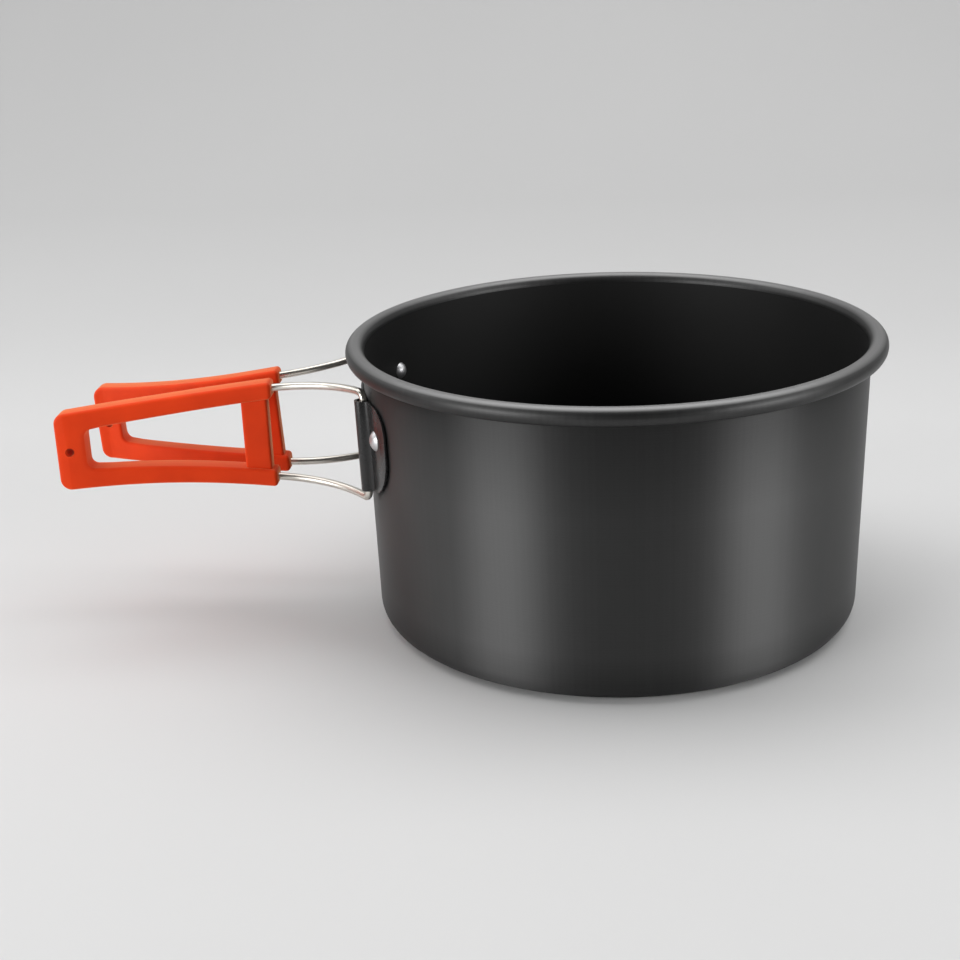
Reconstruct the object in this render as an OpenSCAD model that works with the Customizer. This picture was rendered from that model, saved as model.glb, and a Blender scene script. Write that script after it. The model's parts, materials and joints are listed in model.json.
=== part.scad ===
// Camping pot with a rolled rim and a pair of folding wire handles.
// Millimetres. The pot stands on z = 0 with its axis on Z, and the handles point along -X.

/* [Pot] */
// Diameter over the rolled rim
rim_d = 178; // [160:0.5:200]
// Height from the base to the top of the rim
pot_h = 96.6; // [80:0.2:130]
// How far the rim stands out from the wall
rim_overhang = 5.15; // [4.6:0.05:6]
// How far the wall draws in from the rim to the base corner
wall_draw = 2.1; // [0.5:0.1:4]
// Thickness of the spun sheet
wall_t = 1; // [0.8:0.1:1.4]
// Outside radius of the corner between wall and base
base_corner_r = 7; // [4:0.5:14]
// Outside radius of the rolled rim
roll_r = 3.1; // [2.6:0.1:3.4]
// How far the rim is rolled down from its top
roll_angle = 135; // [110:5:170]

/* [Bracket] */
// Distance from the top of the rim down to the middle of the bracket
bracket_drop = 30.1; // [28:0.1:40]
// Thickness of the bracket sheet
sheet_t = 0.9; // [0.7:0.1:1.2]
// Length of the bracket along the wall
bracket_l = 89; // [86:0.2:104]
// Radius of the bracket's lower corners, which are squarer than the round ends
low_corner_r = 9; // [6:0.5:14]
// How far the lower corners lie back from the ends
low_corner_inset = 1; // [0.5:0.1:2]
// Distance of each rib from its end of the bracket
rib_inset = 18.1; // [17:0.1:20]

/* [Rivets] */
// Flat plate left between a rib and the rivet head beside it
rivet_clear = 0.65; // [0.4:0.05:1.5]
// Height of the right rivet above the middle of the bracket
right_rivet_rise = 3.6; // [0:0.1:8]
// Height of the left rivet above the middle of the bracket
left_rivet_rise = 8; // [0:0.1:9]
// Diameter of the shank
shank_d = 3.6; // [3:0.1:4.4]
// Diameter of the outer head
outer_head_d = 6.6; // [5.6:0.1:7.6]
// Height of the outer head
outer_head_h = 1.6; // [1:0.1:2.2]
// Diameter of the head inside the pot
inner_head_d = 5.8; // [5:0.1:7]
// Height of the head inside the pot
inner_head_h = 1.8; // [1:0.1:2.2]

/* [Handle wires] */
// Diameter of the wire
wire_d = 2.5; // [2:0.1:2.8]
// Free play of a pivot leg in its rib
leg_play = 0.3; // [0.3:0.05:0.5]
// How far the handles hang below the middle of the bracket
handle_drop = 0.4; // [0.3:0.1:1.2]
// Plan distance from the pivot leg to the end of the elbow
elbow_reach = 2.4; // [2.2:0.1:3.2]
// Plan radius of the bow between the elbow and the grip
bow_r = 40.3; // [38:0.1:46]
// Angle through which that bow turns
bow_angle = 50.6; // [44:0.2:52]
// Length of wire inside each rail of the grip
wire_in_grip = 46; // [30:1:54]

/* [Grips] */
// Length along the curve
grip_l = 71.9; // [66:0.1:80]
// Height at the pot's end
grip_h_pot = 36.7; // [34:0.1:39]
// Height at the outer end
grip_h_end = 26; // [22:0.1:29]
// How much its upper and lower edges are waisted
waist = 0.7; // [0:0.1:1]
// Thickness
grip_t = 7.8; // [7:0.1:9]
// Plan radius of the grip
grip_r = 165; // [130:1:200]
// Height of the two rails
rail_h = 5.4; // [5:0.1:7]
// Rounding of the long edges
edge_r = 0.9; // [0.6:0.1:1.2]
// Rounding of the rails' ends
nose_r = 1.4; // [1.3:0.1:2.4]
// Length of the solid outer end
end_bar_l = 9; // [8.6:0.1:13]
// Radius of the two outer corners
corner_r = 4; // [3:0.1:4.6]
// Radius of the window's corners at the outer end
window_r = 2.6; // [1.6:0.1:4.4]
// Length of the cross bar along the grip
cross_l = 8.8; // [6:0.1:12]
// Thickness of the cross bar
cross_t = 5.2; // [4.6:0.1:5.6]
// How far the cross bar lies below the grip's outer face
cross_recess = 1.6; // [1:0.1:2]
// How far the cross bar is set back from the rails' ends
cross_setback = 1.8; // [1:0.1:4]
// Diameter of the hanging hole
hang_d = 2.9; // [2:0.1:3.4]
// Distance of the hanging hole from the outer end
hang_inset = 4.4; // [3.6:0.1:5]

/* [Rest position] */
// How far the left handle sags below level
left_sag = 3.4; // [0:0.02:3.6]
// How far the right handle sags below level
right_sag = 0.3; // [0:0.02:3.6]

/* [Fits] */
// Gap between pieces that are seated on each other
seat_gap = 0.05; // [0.03:0.01:0.1]
// Radial clearance of the wire in its grip and of a shank in its holes
bore_fit = 0.05; // [0.03:0.01:0.1]

/* [Hidden] */

// Smoothness of large rounds, small rounds and rounded edges
pot_fn = 180;
round_fn = 96;
edge_fn = 32;

// Excess of a cutting shape, and the step by which one stretch of wire enters the next
margin = 2;
wire_step = 0.02;

// Points of an arc from angle a0 to a1 in n steps
function arc(c, r, a0, a1, n) = [for (i = [0:n]) c + r * [cos(a0 + (a1 - a0) * i / n), sin(a0 + (a1 - a0) * i / n)]];

// The same points from last to first
function reversed(p) = [for (i = [len(p) - 1:-1:0]) p[i]];

// Angle of length l on a circle of radius r
function turn(l, r) = l / r * 180 / PI;

// Draft of the pot's wall, and its outside radius at a height
wall_r_base = rim_d / 2 - rim_overhang - wall_draw;
draft = atan(wall_draw / (pot_h - base_corner_r));
function pot_r(z) = wall_r_base + (z - base_corner_r) * tan(draft);

// Centres and radii of the arcs in the pot's section
base_c = [wall_r_base - base_corner_r / cos(draft), base_corner_r];
roll_c = [rim_d / 2 - roll_r, pot_h - roll_r];
lip_r = (roll_c.x - pot_r(pot_h) + wall_t / cos(draft)) * cos(draft) / (1 - sin(draft));
lip_c = [roll_c.x, pot_h - lip_r];

// Slope of the wires and rails towards the grip's middle
taper = atan((grip_h_pot - grip_h_end) / 2 / (grip_r * sin(turn(grip_l, grip_r))));

// Bow of the wire and start of the grip, in the sloping plane of the wire
bow_c = [elbow_reach * cos(bow_angle) + bow_r * sin(bow_angle),
         bow_r * cos(bow_angle) - elbow_reach * sin(bow_angle)];
grip_start = bow_c - [0, bow_r];
grip_c = grip_start + [0, grip_r];

// Half the spread of the wire at the pivot leg
wire_z = grip_h_pot / 2 - rail_h / 2 + grip_start.x * sin(taper);

// Elbow between pivot leg and bow: its pitch where it meets the bow, heading, radius and start
elbow_pitch = asin(cos(bow_angle) * sin(taper));
elbow_heading = atan2(sin(bow_angle), cos(bow_angle) * cos(taper));
elbow_r = elbow_reach * norm([cos(bow_angle) * cos(taper), sin(bow_angle)]) / (1 + sin(elbow_pitch));
leg_z = wire_z - elbow_reach * cos(bow_angle) * sin(taper) - elbow_r * cos(elbow_pitch);

// The bracket is as high as the straight pivot leg allows
bracket_z = pot_h - bracket_drop;
handle_z = bracket_z - handle_drop;
bracket_h = 2 * (leg_z - handle_drop);

// Each leg stands in the middle of a slot that leaves room for its lean against the wall
sway = bracket_h / 2 * max(abs(tan(left_sag) - tan(draft)), abs(tan(right_sag) - tan(draft)));
slot_w = wire_d + 2 * leg_play;
slot_depth = slot_w + 2 * sway;
pivot_r = pot_r(bracket_z) + slot_depth / 2;

// Section of a rib: centre and half width of its round crest, and the hollow curves at its foot
crest = slot_depth - slot_w / 2;
crest_w = slot_w / 2 + sheet_t;
hollow_r = crest - seat_gap - sheet_t;
foot_w = crest_w + hollow_r;

// Angles round the pot, from the middle plane
bracket_r = pot_r(bracket_z) + sheet_t;
ear_angle = turn((bracket_l - bracket_h) / 2, bracket_r);
low_angle = turn(bracket_l / 2 - low_corner_inset - low_corner_r, bracket_r);
pivot_angle = turn(bracket_l / 2 - rib_inset, bracket_r);
rivet_angle = pivot_angle + turn(foot_w + rivet_clear + outer_head_d / 2, bracket_r);

// Rectangle of w by h with corners rounded by r
module rounded_rect(w, h, r) {
    steps = 4;
    polygon(concat(arc([w / 2 - r, h / 2 - r], r, 0, 90, steps),
                   arc([r - w / 2, h / 2 - r], r, 90, 180, steps),
                   arc([r - w / 2, r - h / 2], r, 180, 270, steps),
                   arc([w / 2 - r, r - h / 2], r, 270, 360, steps)));
}

// Solid cone inside the pot's wall, grown by gap
module wall_cone(gap) {
    low = base_corner_r;
    high = pot_h - 2 * roll_r;
    translate([0, 0, low]) cylinder(h = high - low, r1 = pot_r(low) + gap, r2 = pot_r(high) + gap, $fn = pot_fn);
}

// Frame on the wall at an angle from the middle plane: x outwards, z up along the wall
module on_wall(angle, z) {
    rotate([0, 0, 180 + angle]) translate([pot_r(z), 0, z]) rotate([0, draft, 0]) children();
}

// Spun pot: flat base, drafted wall and a rim rolled outwards
module pot_body() {
    corner_steps = 8;
    roll_steps = 12;
    roll_end = 90 - roll_angle;
    inside = concat([[0, wall_t]],
                    arc(base_c, base_corner_r - wall_t, -90, -draft, corner_steps),
                    arc(lip_c, lip_r, 180 - draft, 90, roll_steps),
                    arc(roll_c, roll_r, 90, roll_end, roll_steps));
    outside = concat([[0, 0]],
                     arc(base_c, base_corner_r, -90, -draft, corner_steps),
                     arc(lip_c, lip_r - wall_t, 180 - draft, 90, roll_steps),
                     arc(roll_c, roll_r - wall_t, 90, roll_end, roll_steps));
    color("#3c3c3d") difference() {
        rotate_extrude($fn = pot_fn) polygon(concat(inside, reversed(outside)));
        rivet_hole(rivet_angle, right_rivet_rise);
        rivet_hole(-rivet_angle, left_rivet_rise);
    }
}

// Hole for a rivet's shank through wall and bracket
module rivet_hole(angle, rise) {
    depth = 2 * (wall_t + sheet_t + margin);
    on_wall(angle, bracket_z + rise) rotate([0, 90, 0])
        cylinder(h = depth, r = shank_d / 2 + bore_fit, center = true, $fn = round_fn);
}

// Domed rivet head of diameter d and height h that stands on z = 0
module rivet_head(d, h) {
    ball_r = (d * d / 4 + h * h) / (2 * h);
    rotate_extrude($fn = round_fn) intersection() {
        translate([0, h - ball_r]) circle(r = ball_r, $fn = pot_fn);
        square([d, h]);
    }
}

// Rivet with its closed head inside the pot
module rivet(angle, rise) {
    outer_seat = sheet_t + 2 * seat_gap;
    inner_seat = wall_t + 2 * seat_gap;
    color("silver") on_wall(angle, bracket_z + rise) rotate([0, 90, 0]) {
        translate([0, 0, -inner_seat]) cylinder(h = outer_seat + inner_seat, d = shank_d, $fn = round_fn);
        translate([0, 0, outer_seat]) rivet_head(outer_head_d, outer_head_h);
        translate([0, 0, -inner_seat]) mirror([0, 0, 1]) rivet_head(inner_head_d, inner_head_h);
    }
}

module left_rivet() rivet(-rivet_angle, left_rivet_rise);

module right_rivet() rivet(rivet_angle, right_rivet_rise);

// Block with the outline of the bracket: straight between two round ends with squarer lower corners
module bracket_outline() {
    depth = rim_d / 4;
    low_z = bracket_z - bracket_h / 2;
    half_w = bracket_r * sin(ear_angle);
    low_w = bracket_r * sin(low_angle);
    translate([-rim_d / 2, -half_w, low_z]) cube([depth, 2 * half_w, bracket_h]);
    translate([-rim_d / 2, -low_w, low_z]) cube([depth, 2 * low_w, low_corner_r]);
    for (side = [-1, 1]) {
        on_wall(side * ear_angle, bracket_z) rotate([0, 90, 0])
            cylinder(h = depth, d = bracket_h, center = true, $fn = pot_fn);
        on_wall(side * low_angle, low_z + low_corner_r) rotate([0, 90, 0])
            cylinder(h = depth, r = low_corner_r, center = true, $fn = pot_fn);
    }
}

// Section of a rib that runs out into the plate in hollow curves
module rib_section() {
    steps = 8;
    polygon(concat([[-margin, -foot_w]],
                   arc([crest, -foot_w], hollow_r, 180, 90, steps),
                   arc([crest, 0], crest_w, -90, 90, 2 * steps),
                   arc([crest, foot_w], hollow_r, 270, 180, steps),
                   [[-margin, foot_w]]));
}

// Section of the slot inside a rib
module slot_section() {
    translate([crest, 0]) circle(d = slot_w, $fn = round_fn);
    translate([-margin, -slot_w / 2]) square([crest + margin, slot_w]);
}

// Pressed sheet bracket: a plate on the wall with a rib over each pivot leg
module handle_bracket() {
    color("#2b2b2c") difference() {
        union() {
            intersection() {
                wall_cone(seat_gap + sheet_t);
                bracket_outline();
            }
            for (angle = [-pivot_angle, pivot_angle])
                on_wall(angle, bracket_z) linear_extrude(bracket_h, center = true) rib_section();
        }
        wall_cone(seat_gap);
        for (angle = [-pivot_angle, pivot_angle])
            on_wall(angle, bracket_z) linear_extrude(bracket_h + 2 * margin, center = true) slot_section();
        rivet_hole(rivet_angle, right_rivet_rise);
        rivet_hole(-rivet_angle, left_rivet_rise);
    }
}

// Frame of the right handle: origin on the pivot axis, x outwards, y away from the middle plane
module handle_frame(sag) {
    rotate([0, 0, 180 + pivot_angle]) translate([pivot_r, 0, handle_z]) rotate([0, sag, 0]) rotate([0, 0, -pivot_angle])
        children();
}

// Sloping plane of the upper wire and rail
module sloping_plane() {
    translate([0, 0, wire_z]) rotate([0, taper, 0]) children();
}

// Round bar of diameter d bent to radius r, from angle a0 to a1
module bent_bar(r, a0, a1, d) {
    rotate([0, 0, a0]) rotate_extrude(angle = a1 - a0, $fn = pot_fn) translate([r, 0]) circle(d = d, $fn = edge_fn);
}

// Stretch of wire inside a rail of the grip, begun a little earlier by lead
module wire_tail(d, lead) {
    sloping_plane() translate(grip_c) bent_bar(grip_r, -90 - turn(lead, grip_r), -90 + turn(wire_in_grip, grip_r), d);
}

// Upper half of a handle wire; elbow and tail are a hair thinner and enter the leg and the bow
module wire_half() {
    thin = wire_d - 2 * wire_step;
    overlap = 6 * wire_step;
    enter = turn(overlap, elbow_r);
    rotate([0, 0, -elbow_heading]) translate([elbow_r, 0, leg_z]) rotate([90, 0, 0])
        bent_bar(elbow_r, 90 - elbow_pitch - enter, 180 + enter, thin);
    sloping_plane() translate(bow_c) bent_bar(bow_r, -90 - bow_angle, -90, wire_d);
    wire_tail(thin, 4 * overlap);
}

// Bent handle wire with its straight pivot leg
module handle_wire(sag) {
    color("gainsboro") handle_frame(sag) {
        cylinder(h = 2 * leg_z, d = wire_d, center = true, $fn = round_fn);
        wire_half();
        mirror([0, 0, 1]) wire_half();
    }
}

module left_wire() mirror([0, 1, 0]) handle_wire(left_sag);

module right_wire() handle_wire(right_sag);

// Frame on the grip's curve at length l; y stays square to the handle, as the mould opens that way
module along_grip(l) {
    translate(grip_c + grip_r * [sin(turn(l, grip_r)), -cos(turn(l, grip_r))]) children();
}

// Height of the upper rail's middle at length l, with the grip's waist
function rail_z(l) = wire_z - (grip_start.x + grip_r * sin(turn(l, grip_r))) * sin(taper)
                     - waist * sin(180 * l / grip_l);

// Disc of radius r across the grip, with rounded rims
module edge_disc(r) {
    rotate([90, 0, 0]) rotate_extrude($fn = edge_fn) intersection() {
        rounded_rect(2 * r, grip_t, edge_r);
        translate([0, -grip_t]) square([2 * r, 2 * grip_t]);
    }
}

// Thin slice of the upper rail at length l
module rail_slice(l) {
    slice = 0.02;
    along_grip(l) translate([0, 0, rail_z(l)]) rotate([90, 0, 90])
        linear_extrude(slice) rounded_rect(grip_t, rail_h, edge_r);
}

// Upper rail of the grip, with a rounded nose towards the pot
module rail() {
    steps = 8;
    first = nose_r + edge_r;
    last = grip_l - end_bar_l / 2;
    nose_z = rail_h / 2 - nose_r;
    hull() {
        for (z = [-nose_z, nose_z]) along_grip(nose_r) translate([0, 0, rail_z(nose_r) + z]) edge_disc(nose_r);
        rail_slice(first);
    }
    for (i = [1:steps]) hull() {
        rail_slice(first + (last - first) * (i - 1) / steps);
        rail_slice(first + (last - first) * i / steps);
    }
}

// Fillet between the outer end and the underside of the upper rail
module window_fillet() {
    l = grip_l - end_bar_l;
    along_grip(l) translate([-window_r, grip_t / 2 - edge_r / 2, rail_z(l) - rail_h / 2 - window_r]) rotate([90, 0, 0])
        linear_extrude(grip_t - edge_r) difference() {
            square(window_r + margin);
            circle(r = window_r, $fn = edge_fn);
        }
}

// Both halves of what is the same above and below the grip's middle
module both_halves() {
    children();
    mirror([0, 0, 1]) children();
}

// Moulded grip: two rails, a recessed cross bar and a solid outer end with a hanging hole
module grip(sag) {
    end_in = grip_l - end_bar_l + corner_r;
    end_out = grip_l - corner_r;
    cross_at = cross_setback + cross_l / 2;
    cross_y = (grip_t - cross_t) / 2 - cross_recess;
    color("orangered") handle_frame(sag) difference() {
        union() {
            both_halves() rail();
            both_halves() window_fillet();
            hull() for (l = [end_in, end_out]) both_halves()
                along_grip(l) translate([0, 0, rail_z(l) + rail_h / 2 - corner_r]) edge_disc(corner_r);
            along_grip(cross_at) translate([0, cross_y, 0])
                linear_extrude(2 * rail_z(cross_at), center = true) rounded_rect(cross_l, cross_t, edge_r);
        }
        both_halves() wire_tail(wire_d + 2 * bore_fit, margin);
        along_grip(grip_l - hang_inset) rotate([90, 0, 0])
            cylinder(h = 2 * grip_t, d = hang_d, center = true, $fn = edge_fn);
    }
}

module left_grip() mirror([0, 1, 0]) grip(left_sag);

module right_grip() grip(right_sag);

pot_body();
handle_bracket();
left_rivet();
right_rivet();
left_wire();
right_wire();
left_grip();
right_grip();
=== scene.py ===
# %% [markdown]
# # A cooking pot with folding wire handles
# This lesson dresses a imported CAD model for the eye. The CAD model is the frame: it says where
# each piece sits and how the two handles fold. The pot, its bracket and the two grips are modelled
# again here with softer shapes. The wires and the rivets stay as the frame has them and only get a
# finish. All lengths are in metres and in the frame's own axes, with Z up. Left and right are those
# of a person who holds the handles and faces the pot, so the right handle is the one near the
# camera.

# %% Load the frame
import json
import math

import bmesh
import bpy
from mathutils import Matrix, Vector


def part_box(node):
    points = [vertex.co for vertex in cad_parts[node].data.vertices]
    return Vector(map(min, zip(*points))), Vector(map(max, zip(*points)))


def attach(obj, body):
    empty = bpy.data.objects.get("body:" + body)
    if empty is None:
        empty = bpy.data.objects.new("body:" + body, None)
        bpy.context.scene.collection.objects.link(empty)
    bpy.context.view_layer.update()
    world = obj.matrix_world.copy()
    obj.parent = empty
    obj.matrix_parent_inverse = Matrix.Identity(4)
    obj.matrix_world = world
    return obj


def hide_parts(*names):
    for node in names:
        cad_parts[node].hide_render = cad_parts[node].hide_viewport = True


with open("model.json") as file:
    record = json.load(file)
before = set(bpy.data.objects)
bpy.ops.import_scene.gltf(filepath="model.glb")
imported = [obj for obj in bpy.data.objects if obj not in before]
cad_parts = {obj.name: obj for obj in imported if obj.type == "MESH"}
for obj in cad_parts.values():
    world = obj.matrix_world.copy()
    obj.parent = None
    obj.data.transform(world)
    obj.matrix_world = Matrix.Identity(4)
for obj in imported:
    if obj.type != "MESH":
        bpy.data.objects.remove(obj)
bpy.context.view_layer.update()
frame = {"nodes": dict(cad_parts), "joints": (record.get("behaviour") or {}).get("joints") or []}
nodes = frame["nodes"]
MM = 0.001


def in_mm(values, digits=1):
    """Lengths in millimetres, rounded for a print."""
    return [round(value / MM, digits) for value in values]


print("nodes", sorted(nodes))

# %% [markdown]
# ## The pot
# The real pot is one disc of aluminium sheet that is spun over a form on a lathe. Its base is flat,
# its wall opens a little towards the top so that the form comes out, and its edge is rolled
# outwards, which stiffens it and hides the cut. It could be made from a cylinder with insets and a
# Solidify modifier, but then the roll would be a separate ring. The section of the sheet, drawn
# once and turned about Z as on the lathe, keeps one thickness from the base to the free edge of the
# roll, so this way is taken.

# %% Sizes of the pot
RIM_R, POT_H, SHEET = 89.0 * MM, 96.6 * MM, 1.0 * MM  # SHEET is the sheet's thickness
TOP_R, BASE_R = 83.85 * MM, 81.75 * MM  # outside of the wall, at the top and above the corner
CORNER, ROLL = 7.0 * MM, 3.1 * MM  # radius of the base's corner and of the rolled edge
DRAFT = math.atan((TOP_R - BASE_R) / (POT_H - CORNER))


def wall_r(z):
    """Outside radius of the wall at a height."""
    return BASE_R + (z - CORNER) * math.tan(DRAFT)


base_c = Vector((BASE_R - CORNER / math.cos(DRAFT), 0, CORNER))
roll_c = Vector((RIM_R - ROLL, 0, POT_H - ROLL))
reach = roll_c.x - wall_r(POT_H) + SHEET / math.cos(DRAFT)
lip_r = reach * math.cos(DRAFT) / (1 - math.sin(DRAFT))
lip_c = Vector((roll_c.x, 0, POT_H - lip_r))
print("the wall leans by", round(math.degrees(DRAFT), 2), "degrees")
print("radius of the lip", in_mm([lip_r], 2))

# %% [markdown]
# A section is drawn like a pen line. A plane is added and merged to one vertex, Extrude draws
# straight strokes, and Spin draws round ones about the centre of each bend. The line starts at the
# middle of the base and goes out, round the corner and up the outside of the wall.

# %% Draw the outside of the section
SEED = 10 * MM
BASE_PARTS, CORNER_STEPS, WALL_PARTS = 2, 10, 6


def begin(add_primitive, name, **options):
    """Adds a primitive and opens it in edit mode, all selected."""
    bpy.ops.object.select_all(action="DESELECT")
    add_primitive(**options)
    obj = bpy.context.object
    obj.name = name
    bpy.ops.object.mode_set(mode="EDIT")
    bpy.ops.mesh.select_all(action="SELECT")
    return obj


def start_line(name, point):
    """Starts a line as a small plane that is merged to one vertex at a point."""
    obj = begin(bpy.ops.mesh.primitive_plane_add, name, size=SEED)
    bpy.ops.mesh.merge(type="CENTER")
    bpy.ops.transform.translate(value=point)
    return obj


def line(step, parts=1):
    """Draws the line on by a step, in equal parts."""
    for _ in range(parts):
        bpy.ops.mesh.extrude_vertices_move(TRANSFORM_OT_translate={"value": Vector(step) / parts})


def swing(center, degrees, steps, axis=(0, 1, 0)):
    """Draws the line on round a centre."""
    bpy.ops.mesh.spin(steps=steps, angle=math.radians(degrees), center=center, axis=axis)


def on_arc(center, radius, degrees):
    """Point of an arc in the XZ plane."""
    a = math.radians(degrees)
    return center + Vector((radius * math.cos(a), 0, radius * math.sin(a)))


lean_angle = math.degrees(DRAFT)
pot = start_line("pot", (0, 0, 0))
line((base_c.x, 0, 0), BASE_PARTS)
swing(base_c, 90 - lean_angle, CORNER_STEPS)
foot = on_arc(base_c, CORNER, -lean_angle)
head = on_arc(lip_c, lip_r - SHEET, 180 - lean_angle)
line(head - foot, WALL_PARTS)
print("outside of the wall from", in_mm(foot), "to", in_mm(head))

# %% [markdown]
# The rim is the detail that the eye finds first. The sheet bends outwards over a lip, then rolls
# down and back under, towards the wall. The pen follows the hollow side of that roll, turns over
# the cut edge in a half circle, and comes back over the top of the roll, down the inside of the
# wall and along the base. The faces that show get more steps than the hollow ones.

# %% Draw the rim and the inside
ROLL_END = -45  # degrees, where the sheet is cut
UNDER_LIP_STEPS, HOLLOW_STEPS, EDGE_STEPS = 10, 16, 6
ROLL_STEPS, LIP_STEPS = 20, 14
swing(lip_c, lean_angle - 90, UNDER_LIP_STEPS)
swing(roll_c, ROLL_END - 90, HOLLOW_STEPS)
swing(on_arc(roll_c, ROLL - SHEET / 2, ROLL_END), 180, EDGE_STEPS)
swing(roll_c, 90 - ROLL_END, ROLL_STEPS)
swing(lip_c, 90 - lean_angle, LIP_STEPS)
foot = on_arc(base_c, CORNER - SHEET, -lean_angle)
head = on_arc(lip_c, lip_r, 180 - lean_angle)
line(foot - head, WALL_PARTS)
swing(base_c, lean_angle - 90, CORNER_STEPS)
line((-base_c.x, 0, 0), BASE_PARTS)
print("section points", len(bmesh.from_edit_mesh(pot.data).verts))

# %% [markdown]
# One Spin of a full turn makes the pot. Its first and last copies of the section lie on each other,
# and all copies meet at the two poles, so doubles are merged before the normals are made to point
# outwards.

# %% Turn the section about Z
SPIN_STEPS = 192
SAME_POINT = 1e-6  # points nearer than this are one


def close_mesh():
    """Merges doubles, turns the normals outwards and leaves edit mode."""
    bpy.ops.mesh.select_all(action="SELECT")
    bpy.ops.mesh.remove_doubles(threshold=SAME_POINT)
    bpy.ops.mesh.normals_make_consistent(inside=False)
    bpy.ops.object.mode_set(mode="OBJECT")


def make_active(obj):
    """Leaves one object selected and active."""
    bpy.ops.object.select_all(action="DESELECT")
    obj.select_set(True)
    bpy.context.view_layer.objects.active = obj


def finish_piece(obj, body, node, smooth=50):
    """Bakes the object's place into its mesh, smooths it and ties it to the frame."""
    make_active(obj)
    bpy.ops.object.transform_apply(location=True, rotation=True, scale=True)
    bpy.ops.object.shade_smooth_by_angle(angle=math.radians(smooth))
    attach(obj, body)
    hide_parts(node)
    print(obj.name, len(obj.data.polygons), "faces")
    print("  its box", in_mm(obj.bound_box[0]), in_mm(obj.bound_box[6]))


bpy.ops.mesh.select_all(action="SELECT")
bpy.ops.mesh.spin(steps=SPIN_STEPS, angle=math.tau, center=(0, 0, 0), axis=(0, 0, 1))
close_mesh()
finish_piece(pot, "pot", "pot_body")

# %% [markdown]
# ## The bracket
# A press stamps the bracket out of black coated sheet: a long plate that hugs the wall, with two
# hollow ribs in which the upright legs of the handles turn. It could be a curved plate with two
# tubes joined on by a Boolean, but the joins would be sharp, and pressed sheet flows. So it is made
# as the press makes it: the section is drawn flat, and the sheet is bent only at the end.

# %% Sizes of the bracket
PLATE_T, GAP = 0.8 * MM, 0.15 * MM  # thickness of the sheet, and its gap to the wall
SLOT_W, CREST = 2.64 * MM, 1.704 * MM  # slot in a rib, and height of the centre of its crest
RIB_ARC, SEAT = 26.4 * MM, 0.9 * MM  # a rib's place on an arc, and the arc's distance from the wall
low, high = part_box("handle_bracket")
HALF_L, HALF_H = 43.4 * MM, (high.z - low.z) / 2
bracket_z = (low.z + high.z) / 2
wall_here = wall_r(bracket_z)
bend_r = wall_here + GAP + PLATE_T
rib_angle = RIB_ARC / (wall_here + SEAT)
rib_x = bend_r * rib_angle
rib_w = SLOT_W / 2 + PLATE_T
rib_foot = rib_w + CREST
print("ribs stand at", round(math.degrees(rib_angle), 2), "degrees")
print("each rib is", in_mm([rib_w * 2]), "mm wide")

# %% [markdown]
# The line of the sheet runs from end to end of the plate. At each rib it takes three swings: a
# hollow one that leaves the plate, a round one over the crest, and a hollow one back. Straight
# strokes with spare points lie between them, because the sheet has to bend there later.

# %% Draw the section with its ribs
DOWN = (0, 0, -1)
END_PARTS, FLAT_PARTS, FILLET_STEPS, CREST_STEPS = 8, 10, 8, 20
bracket = start_line("bracket", (-HALF_L, 0, 0))
line((HALF_L - rib_x - rib_foot, 0, 0), END_PARTS)
for x, span in ((-rib_x, 2 * (rib_x - rib_foot)), (rib_x, HALF_L - rib_x - rib_foot)):
    swing((x - rib_foot, CREST, 0), 90, FILLET_STEPS, DOWN)
    swing((x, CREST, 0), -180, CREST_STEPS, DOWN)
    swing((x + rib_foot, CREST, 0), 90, FILLET_STEPS, DOWN)
    line((span, 0, 0), FLAT_PARTS)
print("section points", len(bmesh.from_edit_mesh(bracket.data).verts))

# %% [markdown]
# Extrude raises the section into a corrugated strip, a little taller than the bracket, and Solidify
# gives it the thickness of the sheet on the side of the wall. Solidify follows the normals, so the
# script looks up on which side they point instead of trusting it.

# %% Raise and thicken the sheet
SPARE = 1 * MM


def apply_modifier(obj, kind, **settings):
    """Adds a modifier with these settings and applies it."""
    modifier = obj.modifiers.new(kind.lower(), kind)
    for key, value in settings.items():
        setattr(modifier, key, value)
    bpy.ops.object.modifier_apply(modifier=modifier.name)


strip_h = 2 * (HALF_H + SPARE)
bpy.ops.mesh.select_all(action="SELECT")
bpy.ops.mesh.extrude_region_move(TRANSFORM_OT_translate={"value": (0, 0, strip_h)})
bpy.ops.mesh.select_all(action="SELECT")
bpy.ops.transform.translate(value=(0, 0, -strip_h / 2))
close_mesh()
crest_face = max(bracket.data.polygons, key=lambda face: face.center.y)
outwards = 1 if crest_face.normal.y > 0 else -1
apply_modifier(bracket, "SOLIDIFY", thickness=PLATE_T, offset=-outwards, use_even_offset=True)
print("sheet of", len(bracket.data.polygons), "faces,", in_mm(bracket.dimensions))

# %% [markdown]
# The plate's ends are round above and have smaller corners below. A flat plane takes this outline
# with vertex bevels, is extruded to a block, and a Boolean keeps only what lies inside it, like the
# cutting tool of the press. A narrow Bevel then breaks the sharp edges, because real sheet edges
# catch a line of light.

# %% Cut the outline
LOW_CORNER = 0.55  # radius of the lower corners as a share of half the height
CUT_DEPTH, OUTLINE_STEPS = 20 * MM, 20
EDGE_BREAK, BREAK_STEPS, SHARP = 0.22 * MM, 3, math.radians(50)


def pick(test, kind="VERT"):
    """Selects the open mesh's vertices or edges whose points all pass the test."""
    bpy.ops.mesh.select_mode(type=kind)
    bpy.ops.mesh.select_all(action="DESELECT")
    mesh = bmesh.from_edit_mesh(bpy.context.object.data)
    for item in mesh.verts if kind == "VERT" else mesh.edges:
        points = [item] if kind == "VERT" else item.verts
        item.select_set(all(test(point.co) for point in points))
    mesh.select_flush_mode()
    bmesh.update_edit_mesh(bpy.context.object.data)


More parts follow.
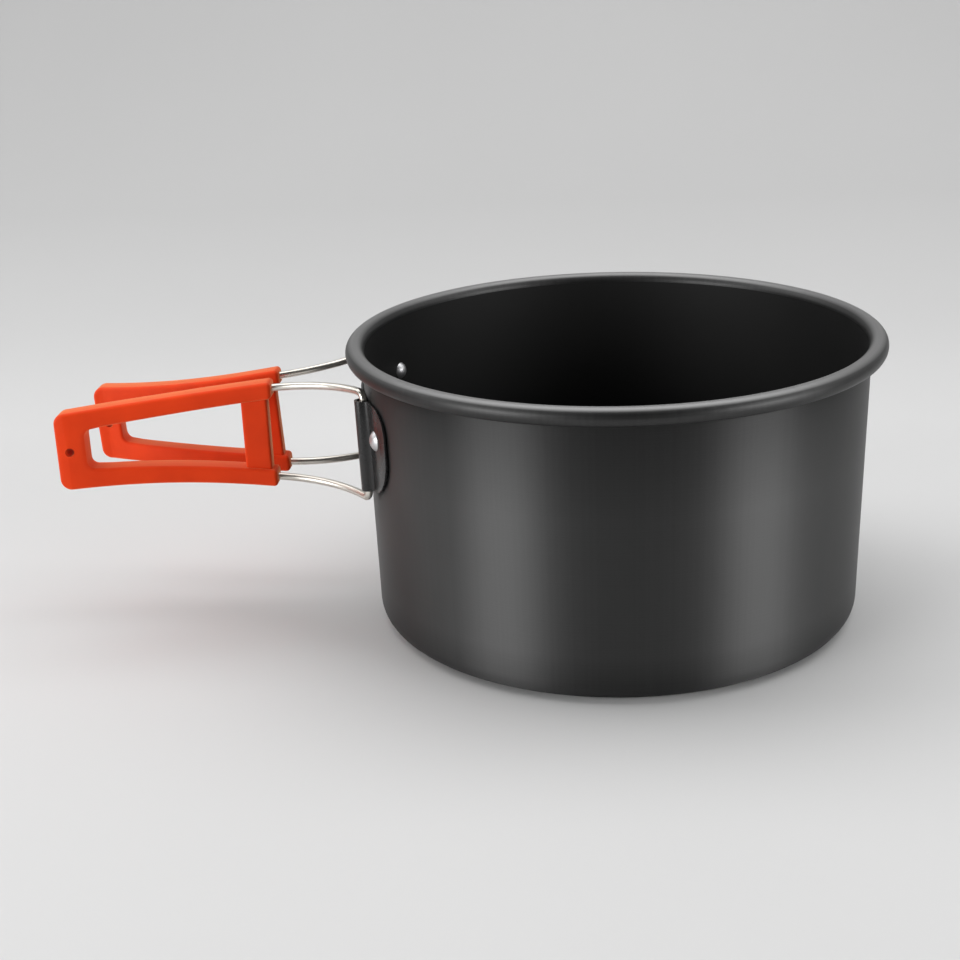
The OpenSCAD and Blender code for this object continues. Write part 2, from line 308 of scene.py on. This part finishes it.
outline = begin(bpy.ops.mesh.primitive_plane_add, "bracket_outline", size=1)
bpy.ops.transform.resize(value=(HALF_L * 2, HALF_H * 2, 1))
pick(lambda p: p.y > 0)
bpy.ops.mesh.bevel(affect="VERTICES", offset=HALF_H, segments=OUTLINE_STEPS)
pick(lambda p: p.y < -HALF_H / 2)
bpy.ops.mesh.bevel(affect="VERTICES", offset=HALF_H * LOW_CORNER, segments=OUTLINE_STEPS)
bpy.ops.mesh.select_all(action="SELECT")
bpy.ops.transform.rotate(value=math.pi / 2, orient_axis="X", center_override=(0, 0, 0))
bpy.ops.mesh.extrude_region_move(TRANSFORM_OT_translate={"value": (0, CUT_DEPTH, 0)})
bpy.ops.mesh.select_all(action="SELECT")
bpy.ops.transform.translate(value=(0, -CUT_DEPTH / 2, 0))
close_mesh()

make_active(bracket)
apply_modifier(bracket, "BOOLEAN", operation="INTERSECT", object=outline, solver="EXACT")
bpy.data.objects.remove(outline)
apply_modifier(bracket, "BEVEL", width=EDGE_BREAK, segments=BREAK_STEPS, limit_method="ANGLE",
               angle_limit=SHARP)
print("flat bracket", in_mm(bracket.dimensions, 2))

# %% [markdown]
# Now the flat plate is bent round the pot. Simple Deform bends it by its length over the bend's
# radius. It can only move points that exist, so Bisect first cuts the long flat faces between the
# ribs into narrow strips. A second Simple Deform tapers the bent plate, so that it leans with the
# wall behind it.

# %% Bend it round the wall
STRIP, STRIPS = 1.8 * MM, 9  # width of a strip, and strips on each side of the middle
bpy.ops.object.mode_set(mode="EDIT")
for i in range(-STRIPS, STRIPS + 1):
    bpy.ops.mesh.select_all(action="SELECT")
    bpy.ops.mesh.bisect(plane_co=(i * STRIP, 0, 0), plane_no=(1, 0, 0))
bpy.ops.object.mode_set(mode="OBJECT")
bend = bracket.dimensions.x / bend_r
apply_modifier(bracket, "SIMPLE_DEFORM", deform_method="BEND", deform_axis="Z", angle=-bend)
bpy.ops.object.mode_set(mode="EDIT")
bpy.ops.mesh.select_all(action="SELECT")
bpy.ops.transform.translate(value=(0, bend_r, 0))
bpy.ops.transform.rotate(value=-math.pi / 2, orient_axis="Z", center_override=(0, 0, 0))
bpy.ops.object.mode_set(mode="OBJECT")
taper = bracket.dimensions.z * math.tan(DRAFT) / wall_here
apply_modifier(bracket, "SIMPLE_DEFORM", deform_method="TAPER", deform_axis="Z", factor=taper)
bracket.location.z = bracket_z
print("bent by", round(math.degrees(bend), 1), "degrees")
finish_piece(bracket, "pot", "handle_bracket", smooth=40)

# %% [markdown]
# ## The grips
# Each grip is a flat frame of silicone, moulded over the two ends of its wire: two rails that draw
# together towards the far end, a broad end with a hanging hole, and a crossbar near the pot. It
# could be cut out of a box with several Booleans. It is drawn as half an outline instead, because
# the rails are slender in the middle and thicken towards the end of the window, and a drawn line
# can follow both curves.

# %% Sizes of the grip
GRIP_L, GRIP_T, GRIP_R, RAIL_H = 71.9 * MM, 7.8 * MM, 165 * MM, 5.4 * MM  # GRIP_R is its curve
GRIP_X, GRIP_Y, WIRE_Z = 32.66 * MM, -16.57 * MM, 18.152 * MM  # from the hinge to the grip's start
TAPER = math.radians(4.3927)
WAIST, FLARE, SWELL = 0.7 * MM, 0.4 * MM, 0.8 * MM  # the rail's dip, and what its inside adds
END_BAR, CORNER_L = 9.0 * MM, 4 * MM  # the broad end, and the part of it that is not curved
WINDOW_R, NOSE_R, END_R, EDGE_R = 2.6 * MM, 1.4 * MM, 3.6 * MM, 1.2 * MM


def curve_x(length):
    """Distance along the handle of a length on the grip's curve."""
    return GRIP_R * math.sin(length / GRIP_R)


end_x = curve_x(GRIP_L - CORNER_L) + CORNER_L
last_x, window_x = end_x - END_R, end_x - END_BAR


def rail_z(x):
    """Height of the middle of the upper rail, at a distance from the grip's start."""
    length = GRIP_R * math.asin(x / GRIP_R)
    return WIRE_Z - (GRIP_X + x) * math.sin(TAPER) - WAIST * math.sin(math.pi * length / GRIP_L)


def outer_z(x):
    """Height of the upper rail's outer edge."""
    return rail_z(x) + RAIL_H / 2


def inner_z(x):
    """Height of the upper rail's inner edge, which comes in towards the end of the window."""
    return rail_z(x) - RAIL_H / 2 - FLARE - SWELL * (x / window_x) ** 2


print("length of the grip", in_mm([end_x]))
print("height at its two ends", in_mm([2 * outer_z(0), 2 * outer_z(last_x)]))

# %% [markdown]
# The pen draws the upper half only. It starts in the middle of the window's end, follows the inner
# edge of the rail towards the pot, goes round the rail's nose, and comes back along the outer edge
# to the middle of the far end. Closing the line gives the face of half a grip.

# %% Draw half of the outline
ARC_STEPS, INNER_PARTS, OUTER_PARTS = 8, 16, 18


def line_to(x, z):
    """Draws the line on to a point of the XZ plane."""
    mesh = bmesh.from_edit_mesh(bpy.context.object.data)
    tip = next(v.co for v in mesh.verts if v.select)
    line(Vector((x, 0, z)) - tip)


grip = start_line("right_handle_grip", (window_x, 0, 0))
corner_z = inner_z(window_x) - WINDOW_R
line_to(window_x, corner_z)
swing((window_x - WINDOW_R, 0, corner_z), 90, ARC_STEPS)
for i in reversed(range(INNER_PARTS)):
    x = NOSE_R + (window_x - WINDOW_R - NOSE_R) * i / INNER_PARTS
    line_to(x, inner_z(x))
swing((NOSE_R, 0, inner_z(NOSE_R) + NOSE_R), -90, ARC_STEPS)
nose_z = outer_z(NOSE_R) - NOSE_R
line_to(0, nose_z)
swing((NOSE_R, 0, nose_z), -90, ARC_STEPS)
for i in range(1, OUTER_PARTS + 1):
    x = NOSE_R + (last_x - NOSE_R) * i / OUTER_PARTS
    line_to(x, outer_z(x))
swing((last_x, 0, outer_z(last_x) - END_R), -90, ARC_STEPS)
line_to(end_x, 0)
pick(lambda p: abs(p.z) < SAME_POINT)
bpy.ops.mesh.edge_face_add()
bpy.ops.mesh.select_all(action="SELECT")
bpy.ops.mesh.edge_face_add()
bpy.ops.object.mode_set(mode="OBJECT")
print("half outline", len(grip.data.vertices), "points,", len(grip.data.polygons), "face")

# %% [markdown]
# Mirror adds the lower half, Solidify the thickness, and Bevel the soft edges that a mould leaves.
# The crossbar is a box with rounded edges that stands back a little from the rails, and the hanging
# hole is a round pin. Both join the grip by a Boolean, one added and one taken away.

# %% Thicken it, add the crossbar and the hole
CROSS_L, CROSS_T, CROSS_AT, CROSS_Y = 8.8 * MM, 5.2 * MM, 6.2 * MM, -0.3 * MM
CROSS_EDGE, ROUND_STEPS = 0.9 * MM, 5
HOLE_R, HOLE_AT, HOLE_SIDES = 1.45 * MM, 4.4 * MM, 32
SQUARE = math.radians(60)  # only the square edges are rounded, not the points of the outline
apply_modifier(grip, "MIRROR", use_axis=(False, False, True))
apply_modifier(grip, "SOLIDIFY", thickness=GRIP_T, offset=0)
apply_modifier(grip, "BEVEL", width=EDGE_R, segments=ROUND_STEPS, limit_method="ANGLE",
               angle_limit=SQUARE)

cross = begin(bpy.ops.mesh.primitive_cube_add, "crossbar", size=1)
bpy.ops.transform.resize(value=(CROSS_L, CROSS_T, 2 * rail_z(CROSS_AT)))
bpy.ops.mesh.bevel(affect="EDGES", offset=CROSS_EDGE, segments=ROUND_STEPS)
bpy.ops.transform.translate(value=(CROSS_AT, CROSS_Y, 0))
close_mesh()

hole = begin(bpy.ops.mesh.primitive_cylinder_add, "hanging_hole", vertices=HOLE_SIDES,
             radius=HOLE_R, depth=CUT_DEPTH)
bpy.ops.transform.rotate(value=math.pi / 2, orient_axis="X", center_override=(0, 0, 0))
bpy.ops.transform.translate(value=(curve_x(GRIP_L - HOLE_AT), 0, 0))
close_mesh()

make_active(grip)
for tool, operation in ((cross, "UNION"), (hole, "DIFFERENCE")):
    apply_modifier(grip, "BOOLEAN", operation=operation, object=tool, solver="EXACT")
    bpy.data.objects.remove(tool)
print("flat grip", len(grip.data.polygons), "faces,", in_mm(grip.dimensions))

# %% [markdown]
# When the handles fold, the grips lie along the pot, so they are curved to its wall. A bend would
# lean the end and the walls of the window over. In the real grip they stay square to the handle, as
# they have to if the two halves of a mould are to part, so the curve is a sideways shift that grows
# with the distance from the start. Bisect gives the rails enough points, a vertex group holds each
# point's share of the shift, and Displace moves them.

# %% Curve the grip
SLICES = 36


def sideways(x):
    """Sideways shift of the curve at a distance from the start."""
    x = min(max(x, 0), last_x)
    return GRIP_R - math.sqrt(GRIP_R**2 - x**2)


bpy.ops.object.mode_set(mode="EDIT")
for i in range(1, SLICES):
    bpy.ops.mesh.select_all(action="SELECT")
    bpy.ops.mesh.bisect(plane_co=(end_x * i / SLICES, 0, 0), plane_no=(1, 0, 0))
close_mesh()
most = sideways(last_x)
shift = grip.vertex_groups.new(name="shift")
for v in grip.data.vertices:
    shift.add([v.index], sideways(v.co.x) / most, "REPLACE")
apply_modifier(grip, "DISPLACE", direction="Y", mid_level=0, strength=most, vertex_group="shift")
grip.vertex_groups.clear()
print("the end is shifted by", in_mm([most], 2))

# %% [markdown]
# One grip serves both handles. The copy is mirrored, and each is carried to its hinge, which the
# frame gives as a joint. The hinges are loose, so both handles sag by their own weight, the left
# one more, and the sag is a small turn about the line across the handle. Mirroring turns a mesh
# inside out, so the copy's normals are made to point outwards again.

# %% Place both grips
RIGHT_SAG, LEFT_SAG = 0.3, 3.4  # degrees
hinge = {joint["child"]: Vector(joint["pos_m"]) for joint in frame["joints"]}
start = Matrix.Translation((GRIP_X, GRIP_Y, 0))
mirror = Matrix.Diagonal((1, -1, 1, 1))


def at_hinge(body, side, sag):
    """Place of a handle at its hinge; side is 1 on the left and -1 on the right."""
    out = Matrix.Rotation(side * rib_angle, 4, "Z")
    tip = Matrix.Rotation(math.radians(sag), 4, "Y")
    away = Matrix.Rotation(math.pi, 4, "Z")
    return Matrix.Translation(hinge[body]) @ away @ out.inverted() @ tip @ out


bpy.ops.object.duplicate()
left_grip = bpy.context.object
left_grip.name = "left_handle_grip"
grip.matrix_world = at_hinge("right_handle", -1, RIGHT_SAG) @ start
left_grip.matrix_world = at_hinge("left_handle", 1, LEFT_SAG) @ mirror @ start
finish_piece(grip, "right_handle", "right_grip")
finish_piece(left_grip, "left_handle", "left_grip")
bpy.ops.object.mode_set(mode="EDIT")
close_mesh()

# %% [markdown]
# ## Finishes
# Every finish is a small graph of nodes in front of one Principled shader. A flat colour would look
# like plastic foil, because a real surface is never the same from place to place: it has a fine
# grain, and its tone drifts slowly. Two noises give both. Several finishes need them, so they are
# built once as a shader group with named sockets, and each finish sets its own scales. The patterns
# read Object coordinates, which move with a piece, so nothing slides over a grip when its handle
# folds.

# %% Grain and mottle, a group
GRAIN_DETAIL, CLOUD_DETAIL = 3, 4
CLOUD_LOW, CLOUD_HIGH = 0.3, 0.7  # a noise seldom leaves this range, so it is stretched to 0..1


def new_group(name, numbers, results):
    """Makes a shader group that reads a place and some numbers and gives values."""
    tree = bpy.data.node_groups.new(name, "ShaderNodeTree")
    tree.interface.new_socket("Place", in_out="INPUT", socket_type="NodeSocketVector")
    for number in numbers:
        tree.interface.new_socket(number, in_out="INPUT", socket_type="NodeSocketFloat")
    for result in results:
        tree.interface.new_socket(result, in_out="OUTPUT", socket_type="NodeSocketFloat")
    ends = tree.nodes.new("NodeGroupInput"), tree.nodes.new("NodeGroupOutput")
    return tree, ends[0].outputs, ends[1].inputs


def add(tree, kind, inputs=None, **settings):
    """Adds a node, sets or links its inputs and returns its outputs."""
    node = tree.nodes.new(kind)
    for key, value in settings.items():
        setattr(node, key, value)
    for key, value in (inputs or {}).items():
        if isinstance(value, bpy.types.NodeSocket):
            tree.links.new(value, node.inputs[key])
        else:
            node.inputs[key].default_value = value
    return node.outputs


def spread(tree, value, low, high, to_low=0.0, to_high=1.0):
    """Maps a value from one range to another."""
    ends = {"From Min": low, "From Max": high, "To Min": to_low, "To Max": to_high}
    return add(tree, "ShaderNodeMapRange", {"Value": value, **ends})["Result"]


mottle, given, result = new_group("mottle", ["Grain Scale", "Cloud Scale"], ["Grain", "Cloud"])
noise = {"Vector": given["Place"], "Scale": given["Grain Scale"], "Detail": GRAIN_DETAIL}
mottle.links.new(add(mottle, "ShaderNodeTexNoise", noise)[0], result["Grain"])
noise = {"Vector": given["Place"], "Scale": given["Cloud Scale"], "Detail": CLOUD_DETAIL}
cloud = add(mottle, "ShaderNodeTexNoise", noise)[0]
mottle.links.new(spread(mottle, cloud, CLOUD_LOW, CLOUD_HIGH), result["Cloud"])
print("group", mottle.name, [item.name for item in mottle.interface.items_tree])

# %% [markdown]
# All the finishes of this lesson are put together in the same few moves: a new material with its
# constants, a group placed on the object, a colour and a roughness that lie between two values, and
# a bump. Each move is a short helper, so that a finish reads as a list of what makes it special.

# %% Moves of a finish
def material(name, **constants):
    """Makes a material and sets the constants of its shader."""
    made = bpy.data.materials.new(name)
    made.use_nodes = True
    shader = made.node_tree.nodes["Principled BSDF"]
    for key, value in constants.items():
        shader.inputs[key.replace("_", " ")].default_value = value
    return made, made.node_tree, shader


def use_group(tree, group, **numbers):
    """Places a group on Object coordinates and returns its outputs."""
    node = tree.nodes.new("ShaderNodeGroup")
    node.node_tree = group
    tree.links.new(add(tree, "ShaderNodeTexCoord")["Object"], node.inputs["Place"])
    for key, value in numbers.items():
        node.inputs[key.replace("_", " ")].default_value = value
    return node.outputs


def colour_between(tree, shader, share, first, second):
    """Gives the shader a colour that lies between two."""
    mix = tree.nodes.new("ShaderNodeMix")
    mix.data_type = "RGBA"
    tree.links.new(share, mix.inputs["Factor"])
    mix.inputs[6].default_value = (*first, 1)  # 6, 7 and 2 are the colour sockets of a Mix node
    mix.inputs[7].default_value = (*second, 1)
    tree.links.new(mix.outputs[2], shader.inputs["Base Color"])


def surface(tree, shader, share, rough, height, depth, strength):
    """Gives the shader a roughness that lies between two, and a bump from a height."""
    tree.links.new(spread(tree, share, 0, 1, *rough), shader.inputs["Roughness"])
    relief = {"Height": height, "Distance": depth, "Strength": strength}
    tree.links.new(add(tree, "ShaderNodeBump", relief)["Normal"], shader.inputs["Normal"])


def dress(obj, *materials):
    """Puts materials in the object's slots and prints what it wears."""
    obj.data.materials.clear()
    for made in materials:
        obj.data.materials.append(made)
    print(obj.name, "wears", [made.name for made in materials])


print("pieces to dress", [piece.name for piece in (pot, bracket, grip, left_grip)])

# %% [markdown]
# ### Wires
# The wires are stainless steel, drawn through a die and bent, and the frame's meshes of them are
# round and fine enough to show. The drawing leaves them bright but not like a mirror. A fully
# metallic shader with a low roughness that drifts with the mottle gives the soft streaks of light
# along them, and a faint bump keeps the streaks from being too clean.

# %% Drawn steel for the wires
steel, tree, shader = material("drawn_steel", Metallic=1.0)
marks = use_group(tree, mottle, Grain_Scale=900, Cloud_Scale=120)
colour_between(tree, shader, marks["Cloud"], (0.62, 0.585, 0.53), (0.74, 0.71, 0.65))
surface(tree, shader, marks["Cloud"], (0.26, 0.36), marks["Grain"], depth=0.01 * MM, strength=0.3)
for name in ("left_wire", "right_wire"):
    dress(nodes[name], steel)

# %% [markdown]
# ### Rivets
# The rivets are soft aluminium. The tool that closes them leaves a satin face, so inside the dark
# pot the head still shows as a grey dome, where polished metal would mirror the dark and vanish.
# This is the same graph as for the wires, with a higher roughness.

# %% Satin aluminium for the rivets
satin, tree, shader = material("satin_aluminium", Metallic=1.0)
marks = use_group(tree, mottle, Grain_Scale=1500, Cloud_Scale=300)
colour_between(tree, shader, marks["Cloud"], (0.55, 0.55, 0.56), (0.66, 0.66, 0.67))
surface(tree, shader, marks["Cloud"], (0.4, 0.5), marks["Grain"], depth=0.03 * MM, strength=0.4)
for name in ("left_rivet", "right_rivet"):
    dress(nodes[name], satin)

# %% [markdown]
# ### Bracket
# The bracket has a thin black coat, smooth enough to mirror the floor and the orange grips softly.
# A coat is no metal to the eye, so Metallic stays at zero and the plain reflection of the
# Principled shader does the work over a nearly black colour. The fine bump stands for the slight
# orange peel of a baked coat.

# %% Black coat for the bracket
coat, tree, shader = material("black_coat", Specular_IOR_Level=0.5)
marks = use_group(tree, mottle, Grain_Scale=2600, Cloud_Scale=160)
colour_between(tree, shader, marks["Cloud"], (0.011, 0.011, 0.0115), (0.017, 0.0165, 0.0165))
surface(tree, shader, marks["Cloud"], (0.24, 0.32), marks["Grain"], depth=0.03 * MM, strength=0.3)
dress(bracket, coat)

# %% [markdown]
# ### Grips
# Silicone is soft to the touch and looks soft too. A little light goes in and comes out close by,
# which warms the thin edges, so there is some subsurface scattering with a long reach in red. Its
# face is matt, and a fine bloom catches light at a flat angle, which makes the faces that look up
# paler and more orange than those that face us. The shader's Sheen does this. A second colour
# painted on the upper faces would be wrong as soon as a handle folds.

# %% Silicone for the grips
silicone, tree, shader = material(
    "silicone", Specular_IOR_Level=0.15, Sheen_Weight=0.9, Sheen_Roughness=0.4,
    Sheen_Tint=(1.0, 0.5, 0.22, 1), Subsurface_Weight=0.1, Subsurface_Scale=2 * MM,
    Subsurface_Radius=(1.0, 0.25, 0.1))
marks = use_group(tree, mottle, Grain_Scale=2400, Cloud_Scale=90)
colour_between(tree, shader, marks["Cloud"], (0.73, 0.042, 0.003), (0.81, 0.051, 0.005))
surface(tree, shader, marks["Cloud"], (0.55, 0.66), marks["Grain"], depth=0.03 * MM, strength=0.3)
for piece in (grip, left_grip):
    dress(piece, silicone)

# %% [markdown]
# ### Pot
# The lathe leaves fine lines round the pot, and the aluminium is then anodised to a hard dark grey.
# Three noises describe the lines: one that changes only along the section and so runs round the pot
# in rings, one that changes only round the pot and so runs up it in faint streaks, and a slow
# cloud. The outside, the inside and the rim all use them, so they are a group as well.

# %% Lines of the lathe, a group
RING_SHARE, STREAK_SHARE, CLOUD_SHARE = 0.3, 0.4, 0.3
TONE_LOW, TONE_HIGH, SLOW_SCALE = 0.35, 0.65, 40


def calc(tree, operation, a, b=0.0, c=0.0):
    """Adds a math node and returns its value."""
    return add(tree, "ShaderNodeMath", {0: a, 1: b, 2: c}, operation=operation)[0]


spun, given, result = new_group("spun_lines", ["Line Scale", "Streak Scale"], ["Lines", "Tone"])
parts = add(spun, "ShaderNodeSeparateXYZ", {"Vector": given["Place"]})
flat = add(spun, "ShaderNodeCombineXYZ", {"X": parts["X"], "Y": parts["Y"]})[0]
radius = add(spun, "ShaderNodeVectorMath", {0: flat}, operation="LENGTH")["Value"]
along = calc(spun, "ADD", radius, parts["Z"])
noise = {"W": along, "Scale": given["Line Scale"], "Detail": GRAIN_DETAIL}
rings = add(spun, "ShaderNodeTexNoise", noise, noise_dimensions="1D")[0]
heading = add(spun, "ShaderNodeVectorMath", {0: flat}, operation="NORMALIZE")[0]
noise = {"Vector": heading, "Scale": given["Streak Scale"], "Detail": CLOUD_DETAIL}
streaks = add(spun, "ShaderNodeTexNoise", noise)[0]
noise = {"Vector": given["Place"], "Scale": SLOW_SCALE, "Detail": CLOUD_DETAIL}
cloud = add(spun, "ShaderNodeTexNoise", noise)[0]
tone = calc(spun, "MULTIPLY", streaks, STREAK_SHARE)
tone = calc(spun, "MULTIPLY_ADD", rings, RING_SHARE, tone)
tone = calc(spun, "MULTIPLY_ADD", cloud, CLOUD_SHARE, tone)
spun.links.new(rings, result["Lines"])
spun.links.new(spread(spun, tone, TONE_LOW, TONE_HIGH), result["Tone"])
print("group", spun.name, [item.name for item in spun.interface.items_tree])

# %% [markdown]
# The skin is painted paler or darker by height in three places. On the outside of the wall it is
# palest from 16 to 60 mm and darker towards the base's corner and towards the rim, a painted shade.
# On the crest of the rim a pale band is a painted highlight. Inside it is palest low down and
# darker towards the top. All three go by height, so a second group turns a height into a share. It
# rises from none to all between two heights, stays, and falls to none again between two more. A
# painted mask would do for one pot only. Heights still fit when the shape is changed a little.

# %% Painted tone by height, a group
HEIGHTS = ["Low", "Pale Low", "Pale High", "High"]
# paints a paler band by height: painted shade on the outside wall, a painted highlight on the rim's
# crest
painted_tone, given, result = new_group("painted_tone_by_height", HEIGHTS, ["Wear"])
height = add(painted_tone, "ShaderNodeSeparateXYZ", {"Vector": given["Place"]})["Z"]
rising = spread(painted_tone, height, given["Low"], given["Pale Low"])
falling = spread(painted_tone, height, given["High"], given["Pale High"])
painted_tone.links.new(calc(painted_tone, "MINIMUM", rising, falling), result["Wear"])
print("group", painted_tone.name, [item.name for item in painted_tone.interface.items_tree])

# %% [markdown]
# The lines throw light up and down, which draws the reflections of the lamps out into tall upright
# bands. A bump could do this only with lines much finer than a picture shows, so the shader's
# anisotropy does it, with a tangent that runs round Z, and the bump is left for the lines that show
# from near. Inside, the skin is darker and duller and has no bands. On the rim, a pale crest
# painted over a dark roll is a painted highlight, and it is what makes the edge look round, so
# little drift of the tone is left there.

# %% Anodised aluminium for the pot
QUARTER_TURN = 0.25
LINE_SCALE, STREAK_SCALE = 2600, 70


def anodised(name, dark, light, rough, grain, pale, drift=0.25):
    """Spun metal with its grain round Z, palest between the two middle heights of four, in mm."""
    made, tree, shader = material(name, Metallic=1.0, Anisotropic=grain,
                                  Anisotropic_Rotation=QUARTER_TURN)
    round_z = add(tree, "ShaderNodeTangent", direction_type="RADIAL", axis="Z")[0]
    tree.links.new(round_z, shader.inputs["Tangent"])
    lines = use_group(tree, spun, Line_Scale=LINE_SCALE, Streak_Scale=STREAK_SCALE)
    heights = {key: z * MM for key, z in zip(HEIGHTS, pale)}
    # share of the pale colour by height: painted shade on the outside, a painted highlight on the
    # rim's crest, darker towards the top inside
    pale_share = calc(tree, "MULTIPLY", use_group(tree, painted_tone, **heights)["Wear"], 1 - drift)
    share = calc(tree, "MULTIPLY_ADD", lines["Tone"], drift, pale_share)
    colour_between(tree, shader, share, (dark,) * 3, (light,) * 3)
    surface(tree, shader, lines["Tone"], rough, lines["Lines"], depth=0.02 * MM, strength=0.3)
    return made


# palest from 16 to 60 mm; the darker base corner and top of the wall are a painted shade
outside = anodised("anodised_outside", 0.05, 0.106, (0.54, 0.58), 0.88, (0, 16, 60, 96))
inside = anodised("anodised_inside", 0.03, 0.046, (0.6, 0.68), 0.0, (-2, -1, 10, 90))
# the pale band on the crest of the rim is a painted highlight
rim = anodised("anodised_rim", 0.05, 0.3, (0.44, 0.48), 0.3, (95.5, 96.5, 97, 98), drift=0.06)
print("finishes", outside.name, inside.name, rim.name)

# %% [markdown]
# The pot is one mesh with three finishes. Each face takes its own by its place: the roll is all
# that lies high up and outside the inner face of the wall, and the inside is what lies within the
# middle of the sheet.

# %% Share the finishes out on the pot
OUTSIDE, INSIDE, RIM = range(3)
REACH_IN = 1.2 * SHEET  # from the outside of the wall, a little past the inner face


def middle_r(z):
    """Radius of the middle of the sheet at a height; none in the base."""
    if z <= SHEET / 2:
        return 0
    if z >= CORNER:
        return wall_r(z) - SHEET / 2
    return base_c.x + math.sqrt((CORNER - SHEET / 2) ** 2 - (CORNER - z) ** 2)


dress(pot, outside, inside, rim)
for face in pot.data.polygons:
    r, z = face.center.xy.length, face.center.z
    if z > POT_H - 2 * ROLL and r > wall_r(z) - REACH_IN:
        face.material_index = RIM
    elif r < middle_r(z):
        face.material_index = INSIDE
wearing = [face.material_index for face in pot.data.polygons]
print("faces of each finish", [wearing.count(i) for i in (OUTSIDE, INSIDE, RIM)])

# %% [markdown]
# ## The studio
# The pot stands on a sheet of pale paper that curves up into a backdrop, so no corner shows behind
# it. A plane is enough: Spin turns its back edge up in a quarter circle and Extrude raises it. The
# paper is painted a little darker towards the back, a painted shade for its greater distance from
# the lamps, and a faint mottle keeps it from being flat. It is no part of the object.

# %% Floor and backdrop
FLOOR_W, FLOOR_D, BACKDROP_H = 8, 4, 3
BACK_Y, BEND_UP, BEND_STEPS = 0.354, 0.5, 16
FADE_FROM, FADE_TO, CLOUD_PART = 0.2, 0.55, 0.1
NEAR_GREY, FAR_GREY = (0.67, 0.67, 0.67), (0.49, 0.49, 0.49)
floor = begin(bpy.ops.mesh.primitive_plane_add, "floor", size=1)
bpy.ops.transform.resize(value=(FLOOR_W, FLOOR_D, 1))
bpy.ops.transform.translate(value=(0, BACK_Y - FLOOR_D / 2, 0))
pick(lambda p: p.y > 0, "EDGE")
bpy.ops.mesh.spin(steps=BEND_STEPS, angle=-math.pi / 2, center=(0, BACK_Y, BEND_UP),
                  axis=(1, 0, 0))
bpy.ops.mesh.extrude_edges_move(TRANSFORM_OT_translate={"value": (0, 0, BACKDROP_H)})
close_mesh()
bpy.ops.object.shade_smooth()
paper, tree, shader = material("paper", Roughness=0.8)
marks = use_group(tree, mottle, Grain_Scale=400, Cloud_Scale=3)
point = add(tree, "ShaderNodeTexCoord")["Object"]
depth = add(tree, "ShaderNodeSeparateXYZ", {"Vector": point})["Y"]
# the paper darkens towards the back: a painted shade for the falloff of the lamps
fade = spread(tree, depth, FADE_FROM, FADE_TO, 0, 1 - CLOUD_PART)
fade = calc(tree, "MULTIPLY_ADD", marks["Cloud"], CLOUD_PART, fade)
colour_between(tree, shader, fade, NEAR_GREY, FAR_GREY)
dress(floor, paper)
print("floor", [round(side, 2) for side in floor.dimensions])

# %% [markdown]
# Metal shows the room more than its own colour, so the lamps are placed by what they draw on the
# pot. Two soft boxes stand low to the left and the right, and each makes one of the bright bands
# down the wall. Two weaker ones behind them outline the rim and the edges of the pot, and a wide
# one above lights the floor and the upper faces of the grips. The four low ones would also burn
# white patches into the floor beside them. Photographers put a grid on a box for that, and the
# Spread of an area light is such a grid. The power is kept at a plain level, at which the floor
# renders about as pale as its colour is written, and a weak even world light fills the shadows.

# %% Lamps
AIM = Vector((0, 0, 0.05))
WORLD_STRENGTH = 0.06
GRID, OPEN = math.radians(100), math.pi
LAMPS = {  # place, width and height, power, spread
    "left_box": ((-0.92, -0.77, 0.3), (0.7, 0.55), 2.6, GRID),
    "right_box": ((1.03, -0.53, 0.3), (0.65, 0.55), 2.15, GRID),
    "left_fill": ((-1.1, 0.3, 0.7), (0.9, 0.7), 1.15, GRID),
    "right_fill": ((1.2, 0.3, 0.7), (0.9, 0.7), 0.65, GRID),
    "top_box": ((0, 0.25, 1.5), (3.0, 1.2), 26, OPEN),
}
for name, (spot, (width, height), power, spread_angle) in LAMPS.items():
    lamp = bpy.data.lights.new(name, "AREA")
    lamp.shape = "RECTANGLE"
    lamp.size, lamp.size_y = width, height
    lamp.energy, lamp.spread = power, spread_angle
    box = bpy.data.objects.new(name, lamp)
    bpy.context.collection.objects.link(box)
    box.location = spot
    box.rotation_euler = (Vector(spot) - AIM).to_track_quat("Z", "Y").to_euler()
    print(name, round((Vector(spot) - AIM).length, 2), "m away,", power, "W")

world = bpy.data.worlds.new("studio")
bpy.context.scene.world = world
world.use_nodes = True
sky = world.node_tree.nodes["Background"].inputs
sky["Color"].default_value, sky["Strength"].default_value = (1, 1, 1, 1), WORLD_STRENGTH
print("world strength", WORLD_STRENGTH)

# %% [markdown]
# The camera stands in front of the pot and a little above it, not much more than half a metre away,
# so that the near side of the rim looks wider than the far side. It could be aimed with a
# constraint, but its slight roll is easier to give as three angles, from which the axes of the
# camera are built here.

# %% Camera
YAW, PITCH, TILT = -0.070584, 0.34301, -0.03752  # radians
LENS, SENSOR = 63.01, 36  # millimetres of the camera
STAND = (-0.007856, -0.542251, 0.238524)
flat_ahead = Vector((math.sin(YAW), math.cos(YAW), 0))
ahead = flat_ahead * math.cos(PITCH) - Vector((0, 0, math.sin(PITCH)))
right = Vector((math.cos(YAW), -math.sin(YAW), 0))
above = right.cross(ahead)
across = right * math.cos(TILT) + above * math.sin(TILT)
upright = above * math.cos(TILT) - right * math.sin(TILT)
lens = bpy.data.cameras.new("camera")
lens.sensor_width, lens.lens = SENSOR, LENS
camera = bpy.data.objects.new("camera", lens)
bpy.context.collection.objects.link(camera)
axes = Matrix((across, upright, -ahead)).transposed().to_4x4()
camera.matrix_world = Matrix.Translation(STAND) @ axes
bpy.context.scene.camera = camera
bpy.context.scene.view_settings.view_transform = "Standard"
print("camera", STAND, "looks down by", round(math.degrees(PITCH), 1), "degrees")
